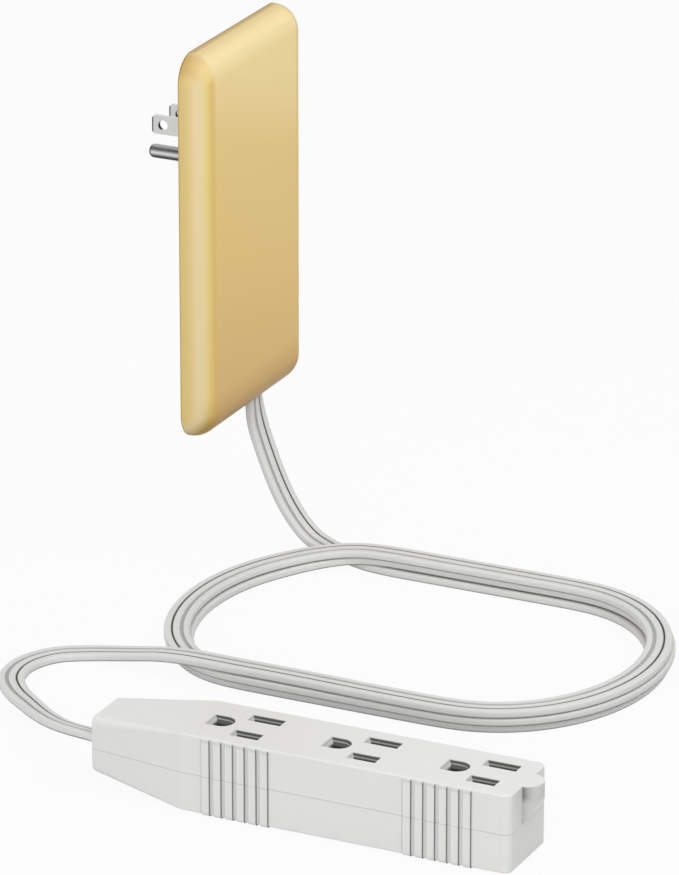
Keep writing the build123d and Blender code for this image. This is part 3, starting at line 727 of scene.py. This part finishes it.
@dataclass
class PanScrews:
    """Cross-recess pan-head screws, set at their seats by a node tree; millimetres."""

    name: str
    replaces: str
    seats: tuple[Point, ...]
    turn: Point
    reach: float
    head_radius: float = 2.1
    head_height: float = 0.8
    shank_radius: float = 1.1
    recess_width: float = 0.55
    recess_span: float = 2.3
    recess_depth: float = 0.5
    sides: int = 40
    brim_share: float = 0.55
    brim_taper: float = 0.97
    crown_taper: float = 0.66
    shank_taper: float = 0.8

    def sizes(self) -> dict[str, float]:
        """Name the inputs of the node tree.

        Returns:
            Each size in metres, by its input's name.
        """
        return {
            "Head Radius": self.head_radius * MM,
            "Head Height": self.head_height * MM,
            "Shank Radius": self.shank_radius * MM,
            "Reach": self.reach * MM,
            "Recess Width": self.recess_width * MM,
            "Recess Span": self.recess_span * MM,
            "Recess Depth": self.recess_depth * MM,
        }

    def screw(self, graph: Graph, wires: dict[str, Wire]) -> Wire:
        """One screw, standing at the origin with its head up.

        Args:
            graph: The node tree to add to.
            wires: The tree's inputs by name.

        Returns:
            The screw.
        """
        radius, height, reach = wires["Head Radius"], wires["Head Height"], wires["Reach"]
        span, width, depth = wires["Recess Span"], wires["Recess Width"], wires["Recess Depth"]

        def raised(shape: Wire, lift: Operand) -> Wire:
            """Move a shape along Z."""
            place = graph.node("ShaderNodeCombineXYZ", {}, {"Z": lift})
            return graph.node("GeometryNodeTransform", {}, {"Geometry": shape, "Translation": place})

        def disc(low: Wire, high: Wire, tall: Wire, bottom: Operand) -> Wire:
            """A round tapered solid with a low and a high radius, standing on its bottom."""
            sizes = {"Vertices": self.sides, "Radius Top": high, "Radius Bottom": low, "Depth": tall}
            return raised(graph.node("GeometryNodeMeshCone", {"fill_type": "NGON"}, sizes), bottom)

        def arm(x: Wire, y: Wire) -> Wire:
            """One arm of the cross recess, as a block to cut away."""
            size = graph.node("ShaderNodeCombineXYZ", {}, {"X": x, "Y": y, "Z": depth * 2.0})
            return raised(graph.node("GeometryNodeMeshCube", {}, {"Size": size}), height)

        step = height * self.brim_share
        waist = radius * self.brim_taper
        shank = wires["Shank Radius"]
        solids = [
            disc(radius, waist, step, 0.0),
            disc(waist, radius * self.crown_taper, height * (1.0 - self.brim_share), step),
            disc(shank * self.shank_taper, shank, reach, reach * -1.0),
        ]
        body = graph.node("GeometryNodeJoinGeometry", {}, {"Geometry": solids})
        return graph.node(
            "GeometryNodeMeshBoolean",
            {"operation": "DIFFERENCE", "solver": "EXACT"},
            {"Self Intersection": True, "Mesh 1": body, "Mesh 2": [arm(span, width), arm(width, span)]},
        )

    def tree(self, material: bpy.types.Material) -> bpy.types.NodeTree:
        """The node tree: one screw, standing at each seat.

        Args:
            material: The screws' metal.

        Returns:
            The tree, with the sizes as its inputs.
        """
        made = bpy.data.node_groups.new(f"{self.name}_tree", "GeometryNodeTree")
        graph = Graph(made)
        made.interface.new_socket("Geometry", in_out="INPUT", socket_type="NodeSocketGeometry")
        for name in self.sizes():
            made.interface.new_socket(name, in_out="INPUT", socket_type="NodeSocketFloat")
        turn = made.interface.new_socket("Turn", in_out="INPUT", socket_type="NodeSocketVector")
        turn.default_value = self.turn
        made.interface.new_socket("Geometry", in_out="OUTPUT", socket_type="NodeSocketGeometry")
        given = graph.add("NodeGroupInput", {}, {})
        wires = {socket.name: Wire(graph, socket) for socket in given.outputs if socket.name}
        placed = graph.node(
            "GeometryNodeInstanceOnPoints",
            {},
            {"Points": wires["Geometry"], "Instance": self.screw(graph, wires), "Rotation": wires["Turn"]},
        )
        solid = graph.node("GeometryNodeRealizeInstances", {}, {"Geometry": placed})
        metal = graph.node("GeometryNodeSetMaterial", {}, {"Geometry": solid, "Material": material})
        graph.add("NodeGroupOutput", {}, {"Geometry": metal})
        return made

    def build(self, material: bpy.types.Material) -> bpy.types.Object:
        """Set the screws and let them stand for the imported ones.

        Args:
            material: The screws' metal.

        Returns:
            The screws as one plain mesh.
        """
        seats = bpy.data.meshes.new(f"{self.name}_seats")
        seats.from_pydata([tuple(MM * part for part in seat) for seat in self.seats], [], [])
        holder = put(f"{self.name}_seats", seats)
        tree = self.tree(material)
        modifier = holder.modifiers.new("screws", "NODES")
        modifier.node_group = tree
        keys = {item.name: item.identifier for item in tree.interface.items_tree if item.in_out == "INPUT"}
        for name, value in self.sizes().items():
            modifier[keys[name]] = value
        modifier[keys["Turn"]] = self.turn
        mesh = plain_mesh(holder)
        mesh.name = self.name
        holder.modifiers.remove(modifier)
        bpy.data.objects.remove(holder)
        screws = put(self.name, mesh)
        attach(screws, ROOT)
        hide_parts(self.replaces)
        LOG.info("%s set, %d faces", self.name, len(mesh.polygons))
        return screws


COVER_SCREWS = PanScrews(
    name="cover_pan_screws",
    replaces="cover_screws",
    seats=((-27.4, -10.2, -75.65), (27.4, -10.2, -75.65), (-27.4, -10.2, 35.85), (27.4, -10.2, 35.85)),
    turn=(-math.pi / 2, 0.0, 0.0),
    reach=5.0,
)
STRIP_SCREWS = PanScrews(
    name="strip_pan_screws",
    replaces="strip_screws",
    seats=((-193.4, -201.6, -129.0), (-203.0, -87.4, -129.0), (-183.8, -87.4, -129.0)),
    turn=(math.pi, 0.0, 0.0),
    reach=12.0,
)


@dataclass
class FlatCord:
    """The flat cord of three cores: out of the cover, round the stacked loop, and into the strip.

    Lengths are in millimetres, apart from the whole length and the places of the two rolls, in metres.
    """

    width: float = 8.6
    thick: float = 2.7
    floor: float = -137.0
    layer: float = 2.75
    loop_centre: float = -56.3
    loop_half: float = 55.1
    left_turn: tuple[float, float] = (-65.0, 40.3)
    right_turn: tuple[float, float] = (-139.5, 46.7)
    straight: tuple[float, ...] = (0.0, 0.34, 0.67, 1.0)
    turn_step: float = 15.0
    loop_points: int = 77
    climb: tuple[float, float] = (26.4, 30.2)
    back_shift: tuple[float, ...] = (-0.7, 0.7, -0.7)
    front_shift: tuple[float, ...] = (-0.9, 0.45, 0.45)
    drop_roll: float = -14.0
    drop_span: tuple[Step, Step] = ((0.011, 0.014), (0.080, 0.030))
    tail_roll: float = 12.0
    tail_span: tuple[Step, Step] = ((0.008, 0.010), (0.115, 0.070))
    crease: float = 48.0
    edge: tuple[Step, ...] = ((0.0, 0.78), (0.10, 0.42), (0.34, 0.14), (0.70, 0.02), (1.35, 0.0))
    groove_place: float = 1.60
    # Groove walls: distance from the middle, depth, and painted shade, from the brim down.
    thin_groove: tuple[Point, ...] = (
        (0.56, 0.03, 0.0),
        (0.32, 0.13, 0.50),
        (0.20, 0.32, 1.0),
        (0.12, 0.80, 1.0),
    )
    wide_groove: tuple[Point, ...] = (
        (0.86, 0.03, 0.0),
        (0.64, 0.12, 0.12),
        (0.52, 0.30, 0.34),
        (0.42, 0.62, 0.45),
    )
    # Painted shade along the lower edges of each layer, where it lies on the one below.
    seam: tuple[float, float] = (0.40, 0.70)
    seam_shade: float = 0.70
    length: float = 1.51
    drop: tuple[Point, ...] = (
        (8.0, -12.45, -73.15),
        (8.0, -12.45, -89.15),
        (7.9, -17.4, -104.4),
        (7.8, -24.6, -121.1),
        (7.4, -33.6, -132.6),
        (5.4, -43.0, -135.6),
        (1.2, -55.0, -135.6),
    )
    tail: tuple[Point, ...] = (
        (-111.2, -84.0, -130.1),
        (-111.4, -65.0, -130.1),
        (-111.0, -43.0, -130.1),
        (-109.5, -26.5, -133.6),
        (-110.5, -12.0, -135.6),
        (-116.5, -1.5, -135.6),
        (-128.0, 4.0, -135.6),
        (-140.5, 2.4, -135.6),
        (-150.2, -5.0, -135.5),
        (-158.8, -14.5, -134.4),
        (-170.5, -25.2, -131.6),
        (-182.5, -37.8, -128.0),
        (-190.4, -50.8, -125.1),
        (-193.4, -62.8, -123.75),
        (-193.4, -72.4, -123.75),
    )

    def ring(self) -> list[tuple[float, float, float]]:
        """One turn of the loop from its back run, with straight long sides and rounded ends.

        Returns:
            Unit direction outwards across the run, and the run's place along the loop, per point.
        """
        near, deep = self.left_turn[0], self.right_turn[0]
        turns = [math.radians(k * self.turn_step) for k in range(1, round(180.0 / self.turn_step))]
        points = [(1.0, 0.0, near + share * (deep - near)) for share in self.straight]
        points += [(math.cos(turn), -math.sin(turn), deep) for turn in turns]
        points += [(-1.0, 0.0, deep + share * (near - deep)) for share in self.straight]
        points += [(-math.cos(turn), math.sin(turn), near) for turn in turns]
        return points

    def loop(self) -> list[Point]:
        """The turns on the floor: each climbs over the drop and lies on the turn before it.

        Returns:
            Points in millimetres, from the drop's end to the tail's start.
        """
        ring = self.ring()
        start, end = self.climb
        points: list[Point] = []
        for k in range(self.loop_points):
            whole, place = divmod(k, len(ring))
            ahead = (place - start) / (end - start)
            behind = (place + len(ring) - start) / (end - start)
            risen = ease(ahead) if place >= start else ease(behind) - 1.0 if whole else 0.0
            level = whole + risen
            across, along, middle = ring[place]
            facing = 0.5 - 0.5 * across
            back = float(np.interp(level, range(3), self.back_shift))
            front = float(np.interp(level, range(3), self.front_shift))
            side = back + (front - back) * facing
            depth = self.left_turn[1] if along > 0.0 else self.right_turn[1]
            points.append(
                (
                    self.loop_centre + (self.loop_half + side) * across,
                    middle + (depth + side) * along,
                    self.floor + self.thick / 2 + self.layer * level,
                )
            )
        return points

    def spine(self) -> np.ndarray:
        """The smooth line of the whole cord.

        Returns:
            Points in metres, in order from the cover to the strip.
        """
        route = [*self.drop, *self.loop(), *self.tail]
        curve = bpy.data.curves.new("cord_route", "CURVE")
        curve.dimensions = "3D"
        curve.resolution_u = 8
        spline = curve.splines.new("NURBS")
        spline.points.add(len(route) - 1)
        for control, point in zip(spline.points, route):
            control.co = (*(MM * part for part in point), 1.0)
        spline.order_u = 3
        spline.use_endpoint_u = True
        holder = put("cord_route", curve)
        line = plain_mesh(holder)
        points = np.array([vertex.co[:] for vertex in line.vertices])
        bpy.data.objects.remove(holder)
        bpy.data.meshes.remove(line)
        return points

    def groove(self, middle: float, wall: tuple[Point, ...]) -> list[Point]:
        """One groove in the upper face.

        Args:
            middle: Where its middle lies across the cord.
            wall: Distance from the middle, depth and painted shade of each point, from the brim down.

        Returns:
            Places across and up, and the painted shade, from left to right.
        """
        top = self.thick / 2
        left = [(middle - away, top - deep, shade) for away, deep, shade in wall]
        right = [(middle + away, top - deep, shade) for away, deep, shade in reversed(wall)]
        return [*left, *right]

    def section(self) -> list[Point]:
        """The outline across the cord: a flat band with a thin and a wide groove between its cores.

        Returns:
            Offsets across and up in metres, and how much shade is painted on the vinyl at each point.
        """
        side, top = self.width / 2, self.thick / 2
        left = [(-side, 0.0, 0.0), *((inset - side, top - deep, 0.0) for inset, deep in self.edge)]
        right = [(-across, rise, shade) for across, rise, shade in reversed(left)]
        thin = self.groove(-self.groove_place, self.thin_groove)
        wide = self.groove(self.groove_place, self.wide_groove)
        upper = [*left, *thin, (0.0, top, 0.0), *wide, *right]
        # Painted shade on the lower half's outer edges, where it lies on the layer below.
        inner, high = side - self.seam[0], top - self.seam[1]
        lower = [
            (across, -rise, self.seam_shade if abs(across) > inner and rise > high else shade)
            for across, rise, shade in reversed(upper[1:-1])
        ]
        return [(MM * across, MM * rise, shade) for across, rise, shade in [*upper, *lower]]

    @staticmethod
    def rolled(gone: np.ndarray, span: tuple[Step, Step]) -> np.ndarray:
        """The share of a roll at each length: it grows after the span's start and is gone by its end."""
        (start, growth), (end, fade) = span
        return ease((gone - start) / growth) * ease((end - gone) / fade)

    def frames(self, points: np.ndarray) -> tuple[np.ndarray, np.ndarray]:
        """Directions across and out of the flat face at each point.

        Args:
            points: The spine.

        Returns:
            Unit vectors across the cord and out of its face.
        """
        along = np.gradient(points, axis=0)
        along /= np.linalg.norm(along, axis=1)[:, None]
        level = np.cross(along, np.array([0.0, 0.0, 1.0]))
        steep = 1.0 - np.linalg.norm(level, axis=1)
        across = level + steep[:, None] * np.array([-1.0, 0.0, 0.0])
        across -= np.sum(across * along, axis=1)[:, None] * along
        across /= np.linalg.norm(across, axis=1)[:, None]
        face = np.cross(across, along)
        gone = np.concatenate([[0.0], np.cumsum(np.linalg.norm(np.diff(points, axis=0), axis=1))])
        roll = math.radians(self.drop_roll) * self.rolled(gone, self.drop_span)
        roll = roll + math.radians(self.tail_roll) * self.rolled(gone[-1] - gone, self.tail_span)
        turned = across * np.cos(roll)[:, None] + face * np.sin(roll)[:, None]
        return turned, np.cross(turned, along)

    def swept(self, points: np.ndarray) -> bpy.types.Mesh:
        """Sweep the section along the spine.

        Args:
            points: The spine.

        Returns:
            The cord's closed mesh, with the painted shade of its grooves and seams marked.
        """
        across, face = self.frames(points)
        outline = self.section()
        ring = len(outline)
        shape = np.array([[x, y] for x, y, _ in outline])
        rows = points[:, None, :] + shape[None, :, 0, None] * across[:, None, :]
        rows = rows + shape[None, :, 1, None] * face[:, None, :]
        faces: list[list[int]] = []
        for k in range(len(points) - 1):
            for j in range(ring):
                n = (j + 1) % ring
                faces.append([k * ring + j, k * ring + n, (k + 1) * ring + n, (k + 1) * ring + j])
        faces.append(list(range(ring))[::-1])
        faces.append([(len(points) - 1) * ring + j for j in range(ring)])
        mesh = bpy.data.meshes.new("flat_cord")
        mesh.from_pydata(rows.reshape(-1, 3).tolist(), [], faces)
        mesh.validate()
        # The groove attribute carries the painted shade of the grooves and seams.
        groove = mesh.attributes.new("groove", "FLOAT", "POINT")
        groove.data.foreach_set("value", [g for _ in range(len(points)) for _, _, g in outline])
        mesh.polygons.foreach_set("use_smooth", [True] * len(mesh.polygons))
        mesh.set_sharp_from_angle(angle=math.radians(self.crease))
        return mesh

    def build(self, finish: Finish) -> bpy.types.Object:
        """Args:
            finish: The cord's finish.

        Returns:
            The cord.
        """
        points = self.spine()
        mesh = self.swept(points)
        mesh.materials.append(finish.material())
        cord = put("flat_cord", mesh)
        measured = float(np.linalg.norm(np.diff(points, axis=0), axis=1).sum())
        LOG.info("flat cord laid, %.3f m along its spine", measured)
        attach(cord, ROOT)
        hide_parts("cord_drop", "cord_loop", "cord_tail")
        return cord


@dataclass(frozen=True)
class Lamp:
    """A round soft lamp; only one that glints is seen in glossy surfaces."""

    name: str
    place: Point
    aim: Point
    size: float
    power: float
    glints: bool = False

    def hang(self) -> None:
        """Add the lamp to the scene, turned to its aim."""
        light = bpy.data.lights.new(self.name, "AREA")
        light.shape = "DISK"
        light.size = self.size
        light.energy = self.power
        holder = put(self.name, light)
        holder.location = self.place
        holder.rotation_euler = (Vector(self.aim) - Vector(self.place)).to_track_quat("-Z", "Y").to_euler()
        holder.visible_glossy = self.glints


@dataclass
class Studio:
    """The floor, the white surroundings, the lamps and the camera at the photograph's place."""

    floor_height: float = -0.137
    floor_gap: float = 0.0002
    floor_reach: float = 6.0
    floor_tone: Colour = (0.60, 0.60, 0.60)
    floor_glow: float = 0.94
    eye: Point = (-1.8467, -0.9328, 0.6946)
    swing: float = 64.43
    tilt: float = 21.02
    focal_pixels: float = 6500.6
    frame_width: float = 679.0
    sensor: float = 36.0
    ambient: float = 0.40
    lamps: tuple[Lamp, ...] = (
        Lamp("overhead", (-0.30, -0.30, 1.40), (-0.05, -0.08, -0.08), 1.1, 2.8, glints=True),
        Lamp("back_right", (1.10, -0.25, 0.72), (-0.02, -0.02, -0.02), 0.8, 0.8, glints=True),
        Lamp("left_side", (-1.50, -0.20, 0.35), (-0.05, -0.08, -0.05), 0.9, 10.0),
        Lamp("front_high", (-0.15, -0.60, 0.50), (0.0, -0.02, -0.02), 0.5, 2.5),
        Lamp("rear", (0.25, 1.35, 0.30), (0.0, 0.0, -0.05), 0.9, 5.0),
    )

    def shown(self, graph: Graph) -> Wire:
        """One where the surroundings are seen, straight or in a reflection.

        Args:
            graph: The nodes to add to.

        Returns:
            One for rays of the camera, gloss and glass, and zero for the light on the object.
        """
        path = graph.add("ShaderNodeLightPath", {}, {})
        rays = [Wire(graph, path.outputs[f"Is {kind} Ray"]) for kind in ("Camera", "Glossy", "Transmission")]
        return (rays[0] + rays[1] + rays[2]).clamped()

    def floor(self) -> None:
        """A wide pale floor that keeps a soft shadow and is white to the camera."""
        mesh = bpy.data.meshes.new("floor")
        far, height = self.floor_reach, self.floor_height - self.floor_gap
        corners = [(-far, -far, height), (far, -far, height), (far, far, height), (-far, far, height)]
        mesh.from_pydata(corners, [], [(0, 1, 2, 3)])
        made = bpy.data.materials.new("pale_floor")
        made.use_nodes = True
        graph = Graph(made.node_tree)
        matt = graph.node("ShaderNodeBsdfDiffuse", {}, {"Color": self.floor_tone})
        glow = graph.node("ShaderNodeEmission", {}, {"Color": WHITE, "Strength": 1.0})
        factor = self.shown(graph) * self.floor_glow
        surface = graph.node("ShaderNodeMixShader", {}, {0: factor, 1: matt, 2: glow})
        graph.add("ShaderNodeOutputMaterial", {}, {"Surface": surface})
        mesh.materials.append(made)
        floor = put("floor", mesh)

    def surroundings(self) -> None:
        """White to the camera and in reflections, and a soft even light elsewhere."""
        world = bpy.data.worlds.new("white_room")
        bpy.context.scene.world = world
        world.use_nodes = True
        graph = Graph(world.node_tree)
        strength = self.ambient + self.shown(graph) * (1.0 - self.ambient)
        back = graph.node("ShaderNodeBackground", {}, {"Color": WHITE, "Strength": strength})
        graph.add("ShaderNodeOutputWorld", {}, {"Surface": back})

    def camera(self) -> None:
        """The camera where the photograph was taken from."""
        swing = math.radians(self.swing)
        tilt = math.radians(self.tilt)
        towards = Vector((math.sin(swing) * math.cos(tilt), math.cos(swing) * math.cos(tilt), -math.sin(tilt)))
        lens = bpy.data.cameras.new("photo_camera")
        lens.sensor_fit = "HORIZONTAL"
        lens.sensor_width = self.sensor
        lens.lens = self.focal_pixels * self.sensor / self.frame_width
        holder = put("photo_camera", lens)
        holder.location = self.eye
        holder.rotation_euler = towards.to_track_quat("-Z", "Y").to_euler()
        bpy.context.scene.camera = holder

    def build(self) -> None:
        """Set up everything that isn't part of the object."""
        self.floor()
        self.surroundings()
        for lamp in self.lamps:
            lamp.hang()
        self.camera()
        bpy.context.scene.view_settings.view_transform = "Standard"
        LOG.info("studio ready")


def main() -> None:
    """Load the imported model, dress it, lay the cord and set the studio."""
    logging.basicConfig(level=logging.INFO, format="%(name)s: %(message)s")
    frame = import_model()
    pieces = RigidPieces(frame["nodes"])
    pieces.dress(frame["record"])
    for screws in (COVER_SCREWS, STRIP_SCREWS):
        screws.build(pieces.made["screw_steel"])
    FlatCord().build(CordVinylPaintedShade())
    Studio().build()


if __name__ == "__main__":
    main()
